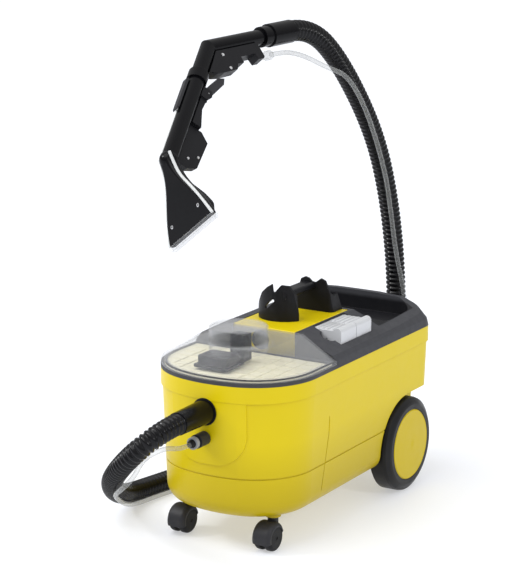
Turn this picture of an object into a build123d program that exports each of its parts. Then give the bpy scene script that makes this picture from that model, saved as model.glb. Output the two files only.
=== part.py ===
"""Wheeled spray-extraction carpet cleaner with its two hoses and its hand tool.

Millimetres. +Z is up, the nose faces -Y, and the origin is on the floor under the middle of the body.
"""
import os
from math import asin, cos, pi, radians, sin, tan

from build123d import *

os.makedirs("parts", exist_ok=True)

# ------------------------------------------------------------------ driving dimensions
half_width = 156.0           # body at its rim
nose_y = -297.0
tail_y = 315.0
nose_radius = 235.0
nose_corner_radius = 128.0
tail_radius = 1500.0
tail_corner_radius = 38.0

underside_z = 64.0
rim_z = 319.0                # top of the yellow body
rim_band = 31.0              # height of the proud band under the rim
rim_ledge = 3.0              # how far that band stands proud
draft = 2.0                  # degrees
wall = 4.0
belt_z = 143.0               # moulded seam round the lower body

ring_top = 326.0             # black ring that carries the tank and the lid
lid_rear_y = -88.0
deck_front_y = -88.0
plateau_z = 375.0

wheel_y = 205.0
wheel_radius = 94.0
wheel_inner_x = 114.0
wheel_outer_x = 160.0
axle_radius = 6.0

caster_x = 93.0
caster_swivel_y = -211.0
caster_trail = 18.0
caster_wheel_radius = 25.0

fit = 0.05                   # radial clearance of a running fit
gap = 0.4                    # air between moving bodies


def finish(builder, name):
    """Name a finished piece and write it as its own file."""
    builder.part.label = name
    export_step(builder.part, f"parts/{name}.step")


# ------------------------------------------------------------------ plan outlines
def end_arcs(end_y, end_radius, corner_radius, side_x, way):
    """Lay the two tangent arcs of one end, on the +X side; way is -1 at the nose, +1 at the tail."""
    reach = end_radius - corner_radius
    corner_x = side_x - corner_radius
    lean = asin(corner_x / reach)
    end_centre = end_y - way * end_radius
    corner_centre = end_centre + way * reach * cos(lean)

    def end_point(angle):
        return (end_radius * sin(angle), end_centre + way * end_radius * cos(angle))

    def corner_point(angle):
        return (corner_x + corner_radius * sin(angle), corner_centre + way * corner_radius * cos(angle))

    ThreePointArc(end_point(0), end_point(lean / 2), end_point(lean))
    ThreePointArc(corner_point(lean), corner_point((lean + pi / 2) / 2), corner_point(pi / 2))
    return corner_centre


def body_plan(inset=0.0):
    """Plan of the body: three-arc nose, straight sides and a tight-cornered tail."""
    with BuildSketch() as plan:
        with BuildLine():
            nose_end = end_arcs(nose_y, nose_radius, nose_corner_radius, half_width, -1)
            tail_end = end_arcs(tail_y, tail_radius, tail_corner_radius, half_width, 1)
            Line((half_width, nose_end), (half_width, tail_end))
            mirror(about=Plane.YZ)
        make_face()
        if inset:
            offset(amount=-inset)
    return plan.sketch


def front_plan(inset=0.0):
    """The part of the body's plan in front of the deck, shrunk by inset on every side."""
    with BuildSketch() as plan:
        add(body_plan(inset))
        with Locations((0, lid_rear_y - inset - half_width * 2)):
            Rectangle(half_width * 4, half_width * 4, mode=Mode.INTERSECT)
    return plan.sketch


def nose_plan(side_x, front_y, end_radius, corner_radius, rear_y):
    """A nose-shaped plan of any size, closed by a straight rear edge."""
    with BuildSketch() as plan:
        with BuildLine():
            side_end = end_arcs(front_y, end_radius, corner_radius, side_x, -1)
            Line((side_x, side_end), (side_x, rear_y))
            Line((side_x, rear_y), (0, rear_y))
            mirror(about=Plane.YZ)
        make_face()
    return plan.sketch


def band(outer, inner, low):
    """The flat band between two plans, at height low."""
    with BuildSketch(Plane.XY.offset(low)) as flat:
        add(outer)
        add(inner, mode=Mode.SUBTRACT)
    return flat.sketch


# ------------------------------------------------------------------ body shell
bay_rear_y = 60.0            # rear wall of the fresh-water space
arch_inner_x = 108.0
arch_radius = wheel_radius + 7
arch_roof_z = 196.0
rear_bay_x = 100.0
shell_rim_z = rim_z - rim_band
belt_groove = 1.4
socket_z = 266.0             # suction connection
coupling_z = 217.0           # spray connection
socket_radius = 23.5
coupling_radius = 10.0
caster_pin_radius = 5.0
pad_half = 79.0
pad_low = 166.0
pad_proud = 2.4
nose_face_y = -296.5          # flat seats of the connections in the pad
exhaust_z = 258.0
exhaust_width = 120.0
exhaust_height = 34.0
gland_x = 96.0
gland_z = 232.0

with BuildPart() as connector_pad:
    with BuildSketch(Plane.XY.offset(shell_rim_z)):
        add(body_plan(rim_ledge - pad_proud))
    extrude(amount=-(shell_rim_z - pad_low + 5), taper=draft)
    with BuildSketch(Plane.XZ.offset(200)) as pad_face:
        with Locations((0, pad_low + 100)):
            Rectangle(2 * pad_half, 200)
        fillet(pad_face.vertices().group_by(Axis.Y)[0], radius=62)
    extrude(amount=120, mode=Mode.INTERSECT)

with BuildPart() as belt_cutter:
    with BuildSketch(Plane.XY.offset(belt_z)):
        add(body_plan(-10))
        add(body_plan(rim_ledge + (shell_rim_z - belt_z) * tan(radians(draft)) + belt_groove),
            mode=Mode.SUBTRACT)
    extrude(amount=2.4)

with BuildPart() as seam_cutter:
    # upright seam on each side, ahead of the wheel
    for side in (-1, 1):
        with BuildSketch(Plane.YZ.offset(side * (half_width - 30))):
            Polygon((-107, 232), (-105, 232), (-105, 198), (-126, 92), (-128, 92), (-107, 198), align=None)
            with Locations((-106, 214)):
                Rectangle(4, 24)
        extrude(amount=side * 60)
    with BuildSketch(Plane.XY.offset(shell_rim_z)):
        add(body_plan(rim_ledge + belt_groove))
    extrude(amount=-(shell_rim_z - underside_z), taper=draft, mode=Mode.SUBTRACT)

with BuildPart() as front_bay:
    # fresh-water space and tank well, open at the top
    with BuildSketch(Plane.XY.offset(rim_z)):
        add(body_plan(rim_ledge + wall))
        with Locations((0, bay_rear_y - half_width * 2)):
            Rectangle(half_width * 4, half_width * 4, mode=Mode.INTERSECT)
    extrude(amount=-(rim_z - underside_z - 1.5 * wall), taper=draft)
    fillet(front_bay.faces().sort_by(Axis.Z)[0].edges(), radius=30)

with BuildPart() as body_shell:
    with BuildSketch(Plane.XY.offset(shell_rim_z)):
        add(body_plan(rim_ledge))
    extrude(amount=-(shell_rim_z - underside_z), taper=draft)
    fillet(body_shell.faces().sort_by(Axis.Z)[0].edges(), radius=34)
    with BuildSketch(Plane.XY.offset(shell_rim_z)):
        add(body_plan())
    extrude(amount=rim_band)
    add(connector_pad.part)
    add(belt_cutter.part, mode=Mode.SUBTRACT)
    add(seam_cutter.part, mode=Mode.SUBTRACT)
    add(front_bay.part, mode=Mode.SUBTRACT)
    # rear bay: narrow between the wheels, full width above them
    with BuildSketch(Plane.XY.offset(underside_z + wall)):
        with Locations((0, (bay_rear_y + wall + tail_y - 16) / 2)):
            Rectangle(2 * rear_bay_x, tail_y - 16 - bay_rear_y - wall)
    extrude(amount=rim_z - underside_z, mode=Mode.SUBTRACT)
    with BuildSketch(Plane.XY.offset(arch_roof_z + 10)):
        add(body_plan(rim_ledge + wall + 4))
        with Locations((0, bay_rear_y + wall + half_width * 2)):
            Rectangle(half_width * 4, half_width * 4, mode=Mode.INTERSECT)
    extrude(amount=rim_z - arch_roof_z, mode=Mode.SUBTRACT)
    # wheel arches, open behind the wheels
    for side in (-1, 1):
        with BuildSketch(Plane.YZ.offset(side * arch_inner_x)):
            with Locations((wheel_y, wheel_radius)):
                Circle(arch_radius)
            with Locations((wheel_y + 100, arch_roof_z / 2)):
                Rectangle(200, arch_roof_z)
        extrude(amount=side * 80, mode=Mode.SUBTRACT)
    # axle bore, caster bosses and the two connection holes
    with BuildSketch(Plane.YZ.offset(-arch_inner_x - 1)):
        with Locations((wheel_y, wheel_radius)):
            Circle(axle_radius)
    extrude(amount=2 * arch_inner_x + 2, mode=Mode.SUBTRACT)
    for side in (-1, 1):
        with BuildSketch(Plane.XY.offset(underside_z + 40)):
            with Locations((side * caster_x, caster_swivel_y)):
                Circle(15)
        extrude(amount=-43.5)
        with BuildSketch(Plane.XY.offset(underside_z - 4)):
            with Locations((side * caster_x, caster_swivel_y)):
                Circle(caster_pin_radius)
        extrude(amount=38, mode=Mode.SUBTRACT)
    with BuildSketch(Plane.XZ.offset(250)):
        with Locations((0, socket_z)):
            Circle(socket_radius)
        with Locations((0, coupling_z)):
            Circle(coupling_radius)
    extrude(amount=60, mode=Mode.SUBTRACT)
    # flat seats for the two connections
    with BuildSketch(Plane.XZ.offset(-nose_face_y)):
        with Locations((0, socket_z)):
            Circle(socket_radius + 2.2)
        with Locations((0, coupling_z)):
            Circle(coupling_radius + 3.2)
    extrude(amount=20, mode=Mode.SUBTRACT)
    # exhaust window and cable hole in the tail
    with BuildSketch(Plane.XZ.offset(-tail_y + 30)):
        with Locations((0, exhaust_z)):
            RectangleRounded(exhaust_width, exhaust_height, 6)
        with Locations((gland_x, gland_z)):
            Circle(8)
    extrude(amount=-60, mode=Mode.SUBTRACT)
finish(body_shell, "body_shell")

# ------------------------------------------------------------------ deck
band_height = 14.0           # the deck's outer band stands steeply, then rounds over
band_lean = 14.0             # degrees
crown_lean = 38.0
crown_top = 376.0
cover_left = -72.0
cover_right = 65.0
cover_rear = 117.0
tray_floor = 338.0
tray_half = 127.0
tray_front = 125.0
tray_rear = 266.0
switch_left = 68.5
switch_right = 130.5
switch_front = -28.0
switch_rear = 89.0
well_floor = 340.0


def roof(front_section, plateau_left, plateau_right, plateau, edge, edge_z, crown):
    """A cross-section of the deck's top on the given plane: a crowned plateau between two shoulders."""
    with BuildSketch(front_section) as section:
        Polygon((-edge, 300), (edge, 300), (edge, edge_z), (plateau_right, plateau), (0, crown),
                (-plateau_left, plateau), (-edge, edge_z), align=None)
    return section.sketch


with BuildPart() as deck_roof:
    section_front = roof(Plane.XZ.offset(-deck_front_y), 90, 72, plateau_z, 200, 317, plateau_z + 0.5)
    section_mid = roof(Plane.XZ.offset(-150), 90, 72, plateau_z, 200, 317, plateau_z + 0.5)
    section_tail = roof(Plane.XZ.offset(-tail_y - 5), 109, 109, 372, 200, 309, 380)
    loft([section_front, section_mid], ruled=True)
    loft([section_mid, section_tail], ruled=True)

with BuildPart() as deck:
    with BuildSketch(Plane.XY.offset(rim_z)):
        add(body_plan())
    extrude(amount=band_height, taper=band_lean)
    with BuildSketch(Plane.XY.offset(rim_z + band_height)):
        add(body_plan(band_height * tan(radians(band_lean))))
    extrude(amount=crown_top - rim_z - band_height, taper=crown_lean)
    add(deck_roof.part, mode=Mode.INTERSECT)
    # hollow underneath
    with BuildSketch(Plane.XY.offset(rim_z)):
        add(body_plan(12))
        with Locations((0, deck_front_y + 6 + half_width * 2)):
            Rectangle(half_width * 4, half_width * 4, mode=Mode.INTERSECT)
    extrude(amount=15, mode=Mode.SUBTRACT)
    # ring round the nose
    extrude(band(front_plan(), front_plan(15), rim_z), amount=ring_top - rim_z)
    # opening for the motor cover
    with BuildSketch(Plane.XY.offset(rim_z)):
        with Locations(((cover_left + cover_right) / 2, (deck_front_y - 1 + cover_rear) / 2)):
            Rectangle(cover_right - cover_left + 1, cover_rear - deck_front_y + 2)
    extrude(amount=80, mode=Mode.SUBTRACT)
    # rear tray, just behind the motor cover
    with BuildSketch(Plane.XY.offset(tray_floor)) as tray:
        with Locations((0, (tray_front + tray_rear) / 2)):
            Rectangle(2 * tray_half, tray_rear - tray_front)
        fillet(tray.vertices().group_by(Axis.Y)[0], radius=52)
        fillet(tray.vertices().group_by(Axis.Y)[-1], radius=26)
    extrude(amount=80, mode=Mode.SUBTRACT)
    # well for the switches and the finger scoop in front of it
    with BuildSketch(Plane.XY.offset(well_floor)):
        with Locations(((switch_left + switch_right) / 2, (switch_front + switch_rear) / 2)):
            Rectangle(switch_right - switch_left + 2, switch_rear - switch_front + 3)
    extrude(amount=60, mode=Mode.SUBTRACT)
    with Locations((106, switch_front - 2, 366)):
        Sphere(17, mode=Mode.SUBTRACT)
finish(deck, "deck")

# ------------------------------------------------------------------ motor cover
cover_front = deck_front_y + 4
cover_wall = 3.0
duct_z = 350.0
duct_radius = 19.0

with BuildPart() as motor_cover:
    with BuildSketch(Plane.XY.offset(rim_z)):
        with Locations(((cover_left + cover_right) / 2, (cover_front + cover_rear) / 2)):
            Rectangle(cover_right - cover_left, cover_rear - cover_front)
    extrude(amount=plateau_z - rim_z)
    fillet(motor_cover.faces().sort_by(Axis.Z)[-1].edges(), radius=3)
    with BuildSketch(Plane.XY.offset(rim_z)):
        with Locations(((cover_left + cover_right) / 2, (cover_front + cover_rear) / 2)):
            Rectangle(cover_right - cover_left - 2 * cover_wall, cover_rear - cover_front - 2 * cover_wall)
    extrude(amount=plateau_z - rim_z - cover_wall, mode=Mode.SUBTRACT)
    with BuildSketch(Plane.XZ.offset(-cover_front - 10)):
        with Locations((-12, duct_z)):
            Circle(duct_radius + fit)
    extrude(amount=20, mode=Mode.SUBTRACT)
finish(motor_cover, "motor_cover")

# ------------------------------------------------------------------ dirty-water tank
tank_floor = 168.0
tank_inset = 21.0
tank_wall = 3.0
flange_z = ring_top + 2.5
tank_mouth = (-14.0, -222.0)
tank_mouth_size = (56.0, 46.0)
shelf_rib_rows = (-268, -240, -212, -184, -156, -128)
shelf_rib_lines = (-104, -78, 52, 78, 104)

with BuildPart() as dirty_tank:
    with BuildSketch(Plane.XY.offset(ring_top)):
        add(front_plan(tank_inset))
    extrude(amount=-(ring_top - tank_floor), taper=draft)
    fillet(dirty_tank.faces().sort_by(Axis.Z)[0].edges(), radius=6)
    with BuildSketch(Plane.XY.offset(ring_top)):
        add(front_plan(7))
    extrude(amount=flange_z - ring_top)
    # low ribs on the shelf, inside the lid's foot and round the mouth
    with BuildSketch(Plane.XY.offset(flange_z)):
        with Locations(*[(0, row) for row in shelf_rib_rows]):
            Rectangle(2 * half_width, 1.6)
        with Locations(*[(line, -200) for line in shelf_rib_lines]):
            Rectangle(1.6, 260)
        add(front_plan(tank_inset), mode=Mode.INTERSECT)
        with Locations(tank_mouth):
            Rectangle(tank_mouth_size[0] + 12, tank_mouth_size[1] + 12, mode=Mode.SUBTRACT)
    extrude(amount=1.2)
    # mouth under the splash box
    with BuildSketch(Plane.XY.offset(flange_z)):
        with Locations(tank_mouth):
            RectangleRounded(*tank_mouth_size, 6)
    extrude(amount=-tank_wall, mode=Mode.SUBTRACT)
    with BuildSketch(Plane.XY.offset(flange_z - tank_wall)):
        add(front_plan(tank_inset + tank_wall))
    extrude(amount=-(flange_z - tank_floor - 2 * tank_wall), taper=draft, mode=Mode.SUBTRACT)
    with BuildSketch(Plane.XZ.offset(240)):
        with Locations((0, socket_z)):
            Circle(19)
    extrude(amount=60, mode=Mode.SUBTRACT)
finish(dirty_tank, "dirty_tank")

# ------------------------------------------------------------------ lid, dome and float
lid_base = 333.0
seal_top = 330.5
lid_wall = 2.6
dome_y = -180.0
dome_radius = 55.0
dome_top = 401.0
dome_hole = dome_radius - lid_wall
dome_foot = 354.0            # the dome's wall runs on below the roof, down to the splash box

with BuildPart() as lid:
    extrude(band(front_plan(0.6), front_plan(6.4), ring_top + gap), amount=lid_base - ring_top - gap)
    extrude(band(front_plan(0.6), front_plan(13), seal_top), amount=lid_base - seal_top)
    outer_foot = nose_plan(153.5, nose_y + 2.5, 232, 126, lid_rear_y - 0.6)
    outer_top = nose_plan(84, -250, 120, 62, lid_rear_y - 0.6)
    inner_foot = nose_plan(150.0, nose_y + 6, 229, 123, lid_rear_y - 3.2)
    inner_top = nose_plan(81.6, -247.4, 118, 60, lid_rear_y - 3.2)
    loft([Plane.XY.offset(lid_base) * outer_foot, Plane.XY.offset(plateau_z) * outer_top], ruled=True)
    loft([Plane.XY.offset(lid_base) * inner_foot, Plane.XY.offset(plateau_z - lid_wall) * inner_top],
         ruled=True, mode=Mode.SUBTRACT)
    with BuildSketch(Plane.XY.offset(dome_foot)):
        with Locations((0, dome_y)):
            Circle(dome_radius)
    extrude(amount=dome_top - dome_foot)
    fillet(lid.faces().sort_by(Axis.Z)[-1].edges(), radius=3)
    with BuildSketch(Plane.XY.offset(lid_base)):
        with Locations((0, dome_y)):
            Circle(dome_hole)
    extrude(amount=dome_top - lid_wall - lid_base, mode=Mode.SUBTRACT)
    with Locations((-8, dome_y - 6, dome_top)):
        Sphere(5)
    with BuildSketch(Plane.XZ.offset(-lid_rear_y - 5)):
        with Locations((-12, duct_z)):
            Circle(duct_radius)
    extrude(amount=10, mode=Mode.SUBTRACT)
finish(lid, "lid")

with BuildPart() as lid_seal:
    extrude(band(front_plan(7.2), front_plan(12), flange_z + 0.1), amount=seal_top - flange_z - 0.1)
finish(lid_seal, "lid_seal")

cage_floor = 334.0
column_half = (15, 13)
box_x = -14.0
box_y = -226.0
box_size = (62.0, 52.0)
box_height = dome_foot - cage_floor
column_y = dome_y + 8
column_top = 384.0

with BuildPart() as float_cage:
    # intake column that stands up inside the dome
    with BuildSketch(Plane.XY.offset(cage_floor)):
        with Locations((0, column_y)):
            Rectangle(2 * column_half[0], 2 * column_half[1])
    extrude(amount=column_top - cage_floor)
    with BuildSketch(Plane.XY.offset(cage_floor)):
        with Locations((0, column_y)):
            Rectangle(2 * column_half[0] - 4, 2 * column_half[1] - 4)
    extrude(amount=column_top - 2 - cage_floor, mode=Mode.SUBTRACT)
    # neck that joins the column to the splash box
    with BuildSketch(Plane.XY.offset(cage_floor)):
        with Locations((0, (column_y - column_half[1] + box_y + box_size[1] / 2) / 2)):
            Rectangle(2 * column_half[0], column_y - column_half[1] - box_y - box_size[1] / 2 + 1)
    extrude(amount=12)
    # splash box in front of the column, open below, with a foot round it
    with BuildSketch(Plane.XY.offset(cage_floor)):
        with Locations((box_x, box_y)):
            RectangleRounded(*box_size, 7)
    extrude(amount=box_height)
    with BuildSketch(Plane.XY.offset(cage_floor)):
        with Locations((box_x, box_y)):
            RectangleRounded(box_size[0] + 12, box_size[1] + 12, 8)
    extrude(amount=4)
    with BuildSketch(Plane.XY.offset(cage_floor)):
        with Locations((box_x, box_y)):
            RectangleRounded(box_size[0] - 4, box_size[1] - 4, 5)
    extrude(amount=box_height - 2, mode=Mode.SUBTRACT)
    # stop bar under the float
    with BuildSketch(Plane.XY.offset(cage_floor + 4)):
        with Locations((0, column_y)):
            Rectangle(2 * column_half[0], 4)
    extrude(amount=3)
finish(float_cage, "float_cage")

ball_radius = 7.0
with BuildPart() as float_ball:
    with Locations((0, column_y, cage_floor + 15)):
        Sphere(ball_radius)
finish(float_ball, "float_ball")

# ------------------------------------------------------------------ carry handle and cable hooks
front_horn_y = -38.0
rear_horn_y = 76.0
hook_wall = 5.0


front_hook_outline = [(-65, plateau_z), (31, plateau_z), (23, 428), (15, 444), (3, 446), (-10, 430),
                      (-13, 433), (-15, 447), (-26, 440), (-40, 428), (-54, 405)]
rear_hook_outline = [(-32, plateau_z), (52, plateau_z), (47, 410), (36, 436), (26, 440), (14, 431),
                     (6, 432), (-1, 438), (-9, 440), (-17, 436), (-21, 426)]
rear_hook_profile = [(-5, 0), (-5, 70), (8, 70), (19, 55), (32, 25), (40, 0)]   # from the horn, going back

with BuildPart() as handle_front:
    # half-tube, open to the rear, cut to the outline of the horns
    with BuildSketch(Plane.XY.offset(plateau_z)):
        with Locations((-16, front_horn_y + 50)):
            Circle(50)
            Circle(50 - hook_wall, mode=Mode.SUBTRACT)
        with Locations((-16, front_horn_y + 14)):
            Rectangle(110, 28, mode=Mode.INTERSECT)
    extrude(amount=80)
    with BuildSketch(Plane.XZ.offset(-front_horn_y - 60)):
        Polygon(*front_hook_outline, align=None)
    extrude(amount=120, mode=Mode.INTERSECT)
    slot_plane = Plane(origin=(-20, front_horn_y + 20, 408), x_dir=(0.72, 0, 0.69), z_dir=(0, -1, 0))
    with BuildSketch(slot_plane):
        SlotOverall(26, 6)
    extrude(amount=40, mode=Mode.SUBTRACT)
finish(handle_front, "handle_front")

with BuildPart() as handle_rear:
    # channel, open to the rear
    with BuildSketch(Plane.XY.offset(plateau_z)):
        with Locations((10, rear_horn_y + 40)):
            RectangleRounded(84, 80, 9)
            RectangleRounded(84 - 2 * hook_wall, 80 - 2 * hook_wall, 5, mode=Mode.SUBTRACT)
        with Locations((10, rear_horn_y + 20)):
            Rectangle(90, 40, mode=Mode.INTERSECT)
    extrude(amount=80)
    with BuildSketch(Plane.XZ.offset(-rear_horn_y - 60)):
        Polygon(*rear_hook_outline, align=None)
    extrude(amount=120, mode=Mode.INTERSECT)
    with BuildSketch(Plane.YZ.offset(-60)):
        Polygon(*[(rear_horn_y + back, plateau_z + up) for back, up in rear_hook_profile], align=None)
    extrude(amount=160, mode=Mode.INTERSECT)
finish(handle_rear, "handle_rear")

grip_low = 417.0
grip_high = 431.0
with BuildPart() as handle_grip:
    with BuildSketch(Plane.XZ.offset(-front_horn_y - hook_wall - 0.8)):
        with Locations((-2, (grip_low + grip_high) / 2)):
            RectangleRounded(30, grip_high - grip_low, 6)
    extrude(amount=-(rear_horn_y - front_horn_y - hook_wall - 0.8))
    add(handle_front.part, mode=Mode.SUBTRACT)
finish(handle_grip, "handle_grip")

# ------------------------------------------------------------------ switches
shaft_x = 99.0
shaft_z = 354.0
shaft_radius = 2.0
switch_middle = (switch_front + switch_rear) / 2
switch_length = (switch_rear - switch_front) / 2 - 0.8
ear_y = [switch_front + 5.5, switch_middle - 6.5, switch_middle + 6.5, switch_rear - 5.5]

with BuildPart() as switch_frame:
    with BuildSketch(Plane.XY.offset(well_floor)):
        with Locations((shaft_x, switch_middle)):
            Rectangle(50, switch_rear - switch_front - 4)
    extrude(amount=2)
    for y in ear_y:
        with BuildSketch(Plane.XZ.offset(-y - 1.5)):
            with Locations((shaft_x, well_floor + 8)):
                Rectangle(12, 16)
            with Locations((shaft_x, shaft_z)):
                Circle(6)
        extrude(amount=3)
    with BuildSketch(Plane.XZ.offset(-switch_rear)):
        with Locations((shaft_x, shaft_z)):
            Circle(shaft_radius)
    extrude(amount=switch_rear - switch_front, mode=Mode.SUBTRACT)
finish(switch_frame, "switch_frame")

with BuildPart() as switch_shaft:
    with BuildSketch(Plane.XZ.offset(-switch_rear + 1.5)):
        with Locations((shaft_x, shaft_z)):
            Circle(shaft_radius)
    extrude(amount=switch_rear - switch_front - 3)
finish(switch_shaft, "switch_shaft")


def rocker(front):
    """One rocker: flat inboard, with a raised thumb ridge along its outer edge."""
    with BuildPart() as key:
        with BuildSketch(Plane.XZ.offset(-front)):
            with BuildLine():
                Polyline((switch_left, 346), (switch_left, 371.5), (112, 371.5), (116, 375))
                ThreePointArc((116, 375), (123, 377), (129, 373.5))
                Polyline((129, 373.5), (switch_right, 370), (switch_right, 346), (switch_left, 346))
            make_face()
        extrude(amount=-switch_length)
        with BuildSketch(Plane.XZ.offset(-front - 2.5)):
            with Locations(((switch_left + switch_right) / 2, 356)):
                Rectangle(switch_right - switch_left - 5, 26)
        extrude(amount=-(switch_length - 5), mode=Mode.SUBTRACT)
        with BuildSketch(Plane.XZ.offset(-front + 1)):
            with Locations((shaft_x, shaft_z)):
                Circle(shaft_radius + fit)
        extrude(amount=-(switch_length + 2), mode=Mode.SUBTRACT)
    return key


pump_switch = rocker(switch_front)
finish(pump_switch, "pump_switch")
vacuum_switch = rocker(switch_middle + 0.8)
finish(vacuum_switch, "vacuum_switch")

# ------------------------------------------------------------------ rear wheels
hub_cap_radius = 70.0
hub_cap_x = 162.0
hub_bore_end = 148.0
shaft_end = 151.0

with BuildPart() as rear_axle:
    with BuildSketch(Plane.YZ.offset(-shaft_end)):
        with Locations((wheel_y, wheel_radius)):
            Circle(axle_radius)
    extrude(amount=2 * shaft_end)
finish(rear_axle, "rear_axle")

with BuildPart() as axle_clips:
    for side in (-1, 1):
        with BuildSketch(Plane.YZ.offset(side * (hub_bore_end + 0.5))):
            with Locations((wheel_y, wheel_radius)):
                Circle(10)
                Circle(axle_radius, mode=Mode.SUBTRACT)
        extrude(amount=side * 1.5)
finish(axle_clips, "axle_clips")


def wheel(side):
    """Moulded wheel with a wide bevelled tread, a web and a long hub."""
    frame = Plane(origin=(0, wheel_y, wheel_radius), x_dir=(side, 0, 0), z_dir=(0, -side, 0))
    with BuildPart() as body:
        with BuildSketch(frame):
            with BuildLine():
                Polyline((wheel_inner_x, 78), (wheel_inner_x, 88), (119, wheel_radius), (147, wheel_radius),
                         (153, 92.5), (wheel_outer_x - 1.5, 84), (wheel_outer_x, 80),
                         (wheel_outer_x, hub_cap_radius + 0.6),
                         (wheel_outer_x - 7, hub_cap_radius + 0.6), (wheel_outer_x - 7, 66), (136, 64),
                         (136, 16), (hub_bore_end, 14), (hub_bore_end, axle_radius + fit),
                         (arch_inner_x + 1.5, axle_radius + fit), (arch_inner_x + 1.5, 16), (130, 18),
                         (130, 70), (wheel_inner_x, 78))
            make_face()
        revolve(axis=Axis((0, wheel_y, wheel_radius), (1, 0, 0)))
    return body


def hub_cap(side):
    """Domed cap with a turned-in edge, snapped into the face of the wheel."""
    dome_rim = hub_cap_radius - 5
    dome_rise = hub_cap_x - wheel_outer_x - 0.6
    sphere_radius = (dome_rim**2 + dome_rise**2) / (2 * dome_rise)
    half_angle = asin(dome_rim / sphere_radius) / 2
    dome_middle = (hub_cap_x - sphere_radius * (1 - cos(half_angle)), sphere_radius * sin(half_angle))
    frame = Plane(origin=(0, wheel_y, wheel_radius), x_dir=(side, 0, 0), z_dir=(0, -side, 0))
    with BuildPart() as body:
        with BuildSketch(frame):
            with BuildLine():
                Polyline((wheel_outer_x - 7, 0), (wheel_outer_x - 7, hub_cap_radius),
                         (wheel_outer_x - 1, hub_cap_radius), (wheel_outer_x + 1, hub_cap_radius - 2),
                         (wheel_outer_x + 0.6, dome_rim))
                ThreePointArc((wheel_outer_x + 0.6, dome_rim), dome_middle, (hub_cap_x, 0))
                Line((hub_cap_x, 0), (wheel_outer_x - 7, 0))
            make_face()
        revolve(axis=Axis((0, wheel_y, wheel_radius), (1, 0, 0)))
    return body


for side_name, side in (("left", -1), ("right", 1)):
    finish(wheel(side), f"{side_name}_wheel")
    finish(hub_cap(side), f"{side_name}_hub_cap")

# ------------------------------------------------------------------ casters
caster_wheel_y = caster_swivel_y - caster_trail
caster_wheel_z = caster_wheel_radius
hood_half = 19.5
web_half = 4.0
caster_wheel_width = 14.0
caster_axle_half = 18.0
caster_axle_radius = 3.0
hood_inner = caster_wheel_radius + 1.8
hood_outer = hood_inner + 3.0
boss_z = underside_z - 3.5

with BuildPart() as caster_pins:
    for side in (-1, 1):
        with BuildSketch(Plane.XY.offset(boss_z - 14)):
            with Locations((side * caster_x, caster_swivel_y)):
                Circle(caster_pin_radius)
        extrude(amount=44)
finish(caster_pins, "caster_pins")


def drum(x, radius, shoulder):
    """Solid drum on a caster's axle, as wide as the hood, with rounded rims."""
    frame = Plane(origin=(x, caster_wheel_y, caster_wheel_z), x_dir=(1, 0, 0), z_dir=(0, -1, 0))
    with BuildPart() as body:
        with BuildSketch(frame):
            RectangleRounded(2 * hood_half, 2 * radius, shoulder)
            with Locations((0, -radius)):
                Rectangle(4 * hood_half, 2 * radius, mode=Mode.SUBTRACT)
        revolve(axis=Axis((x, caster_wheel_y, caster_wheel_z), (1, 0, 0)))
    return body.part


def caster_fork(side):
    """Twin-wheel caster body: a middle web, and a rounded hood over the top and the front of both wheels."""
    x = side * caster_x
    with BuildPart() as body:
        add(drum(x, hood_outer, 9))
        add(drum(x, hood_inner, 7), mode=Mode.SUBTRACT)
        with BuildSketch(Plane.YZ.offset(x - 2 * hood_half)):
            Polygon((caster_wheel_y - 60, 8), (caster_wheel_y, caster_wheel_z), (caster_wheel_y + 60, 44),
                    (caster_wheel_y + 60, -30), (caster_wheel_y - 60, -30), align=None)
        extrude(amount=4 * hood_half, mode=Mode.SUBTRACT)
        with BuildSketch(Plane.YZ.offset(x - web_half)):
            with Locations((caster_wheel_y, caster_wheel_z)):
                Circle(hood_inner + 0.5)
            with Locations((caster_wheel_y, 0)):
                Rectangle(80, 34, mode=Mode.SUBTRACT)
        extrude(amount=2 * web_half)
        with BuildSketch(Plane.XY.offset(boss_z - gap)):
            with Locations((x, caster_swivel_y)):
                Circle(10)
        extrude(amount=-20)
        for way in (-1, 1):
            with BuildSketch(Plane.YZ.offset(x + way * (hood_half - 2))):
                with Locations((caster_wheel_y, caster_wheel_z)):
                    Circle(hood_inner - 1)
            extrude(amount=-way * (hood_half - 2 - web_half), mode=Mode.SUBTRACT)
        with BuildSketch(Plane.XY.offset(boss_z - 14 - gap)):
            with Locations((x, caster_swivel_y)):
                Circle(caster_pin_radius + fit)
        extrude(amount=30, mode=Mode.SUBTRACT)
        with BuildSketch(Plane.YZ.offset(x - 10)):
            with Locations((caster_wheel_y, caster_wheel_z)):
                Circle(caster_axle_radius)
        extrude(amount=20, mode=Mode.SUBTRACT)
    return body


def caster_axle(side):
    """Steel pin through the web, with both wheels on it."""
    with BuildPart() as body:
        with BuildSketch(Plane.YZ.offset(side * caster_x - caster_axle_half)):
            with Locations((caster_wheel_y, caster_wheel_z)):
                Circle(caster_axle_radius)
        extrude(amount=2 * caster_axle_half)
    return body


def caster_wheel(x_low, outward):
    """One small wheel with a well rounded outer rim."""
    with BuildPart() as body:
        with BuildSketch(Plane.YZ.offset(x_low)):
            with Locations((caster_wheel_y, caster_wheel_z)):
                Circle(caster_wheel_radius)
                Circle(caster_axle_radius + fit, mode=Mode.SUBTRACT)
        extrude(amount=caster_wheel_width)
        rims = body.edges().filter_by(GeomType.CIRCLE).filter_by(lambda e: e.radius > 20).sort_by(Axis.X)
        fillet(rims[::outward][0], radius=1.5)
        fillet(rims[::outward][-1], radius=7)
    return body


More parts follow.
